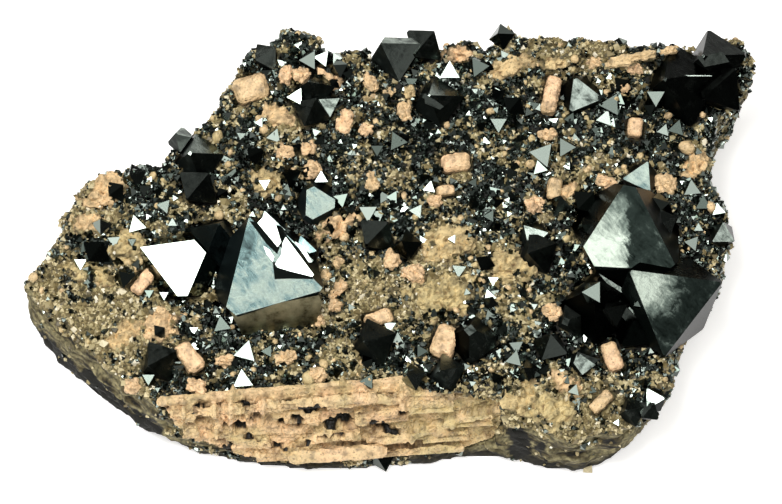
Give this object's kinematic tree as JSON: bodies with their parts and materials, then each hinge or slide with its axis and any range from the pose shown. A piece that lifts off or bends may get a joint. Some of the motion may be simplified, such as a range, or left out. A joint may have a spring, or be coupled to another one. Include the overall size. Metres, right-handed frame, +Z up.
{
  "type": "magnetite specimen",
  "caption": "Slab of granular feldspar rock with sharp octahedral magnetite crystals and small feldspar crystals grown on its upper face.",
  "frame": {"origin": "middle of the specimen's outline, on the plane it rests on", "axes": "+X along its length to the thick rounded end, +Y to the back edge, +Z up, out of the crystal face"},
  "size_m": [0.0951, 0.0563, 0.0222],
  "materials": {
    "feldspar_rock": "rough, granular broken rock with dark magnetite grains",
    "magnetite": "black, bright metallic lustre on flat crystal faces",
    "feldspar": "dull to slightly pearly, pink to cream"
  },
  "bodies": {
    "root": {"feldspar_banded": "feldspar", "feldspar_bar_front": "feldspar", "feldspar_bar_left": "feldspar", "feldspar_block_right": "feldspar", "feldspar_block_upper": "feldspar", "feldspar_brick": "feldspar", "feldspar_front": "feldspar", "feldspar_hexagon": "feldspar", "feldspar_lens": "feldspar", "feldspar_lump_left": "feldspar", "feldspar_pair_upper": "feldspar", "feldspar_slab": "feldspar", "feldspar_tall": "feldspar", "magnetite_above_right": "magnetite", "magnetite_centre": "magnetite", "magnetite_centre_right": "magnetite", "magnetite_corner_left": "magnetite", "magnetite_crown": "magnetite", "magnetite_dusky": "magnetite", "magnetite_edge_pair": "magnetite", "magnetite_front_left": "magnetite", "magnetite_front_middle": "magnetite", "magnetite_hexagon": "magnetite", "magnetite_kite": "magnetite", "magnetite_large_left": "magnetite", "magnetite_large_right": "magnetite", "magnetite_lower_right": "magnetite", "magnetite_mirror_left": "magnetite", "magnetite_over_slab": "magnetite", "magnetite_rim_left": "magnetite", "magnetite_rim_right": "magnetite", "magnetite_rounded": "magnetite", "magnetite_rounded_right": "magnetite", "magnetite_top_middle": "magnetite", "magnetite_top_right": "magnetite", "magnetite_upper_left": "magnetite", "magnetite_upper_right": "magnetite", "rock": "feldspar_rock"}
  },
  "joints": []
}
